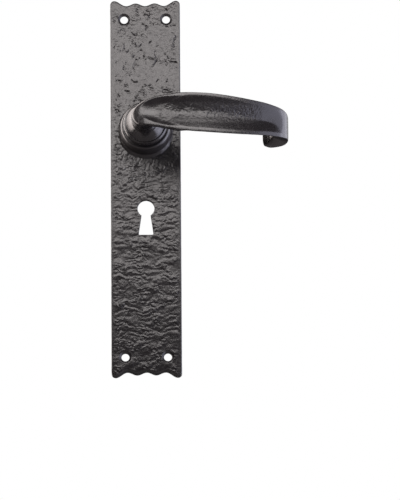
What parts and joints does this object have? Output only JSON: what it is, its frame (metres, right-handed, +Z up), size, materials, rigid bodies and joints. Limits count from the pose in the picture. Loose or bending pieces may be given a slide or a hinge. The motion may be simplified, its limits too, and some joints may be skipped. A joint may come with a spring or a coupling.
{
  "type": "lever lock handle",
  "caption": "Sprung lever handle with a curled end on a long, hollow-backed lock plate with scalloped ends, a keyhole and countersunk fixing holes.",
  "frame": {"origin": "on the spindle axis, in the plane of the door's face", "axes": "+X along the lever towards its tip, +Z up the plate, -Y out of the door towards the user"},
  "size_m": [0.1254, 0.069, 0.2721],
  "materials": {
    "plate_finish": "satin black coating over a hammered, pitted casting",
    "lever_finish": "satin black coating, smoother and glossier than the plate",
    "black_nylon": "moulded black nylon",
    "zinc_steel": "zinc plated pressed steel",
    "cover_steel": "zinc plated sheet steel with rolling grain",
    "screw_steel": "bright zinc plated screw",
    "pin_steel": "ground steel pin",
    "spring_steel": "oiled spring steel, dark and slightly blue"
  },
  "bodies": {
    "plate": {"backplate": "plate_finish", "neck_bush": "black_nylon", "rear_bush": "black_nylon", "return_spring": "spring_steel", "stop_pin_rest": "pin_steel", "stop_pin_travel": "pin_steel", "wave_washer": "spring_steel", "cover_plate": "cover_steel", "cover_screw_upper": "screw_steel", "cover_screw_lower": "screw_steel"},
    "lever": {"lever": "lever_finish", "drive_cam": "zinc_steel", "thrust_washer": "zinc_steel", "circlip": "spring_steel"}
  },
  "joints": [
    {"name": "lever_turn", "type": "hinge", "parent": "plate", "child": "lever", "pos_m": [0, 0, 0], "axis": [0, 1, 0], "range_deg": [0, 40], "stiffness_Nm_per_rad": 0.6, "springref_deg": -51.57, "deforming": ["return_spring"]}
  ]
}
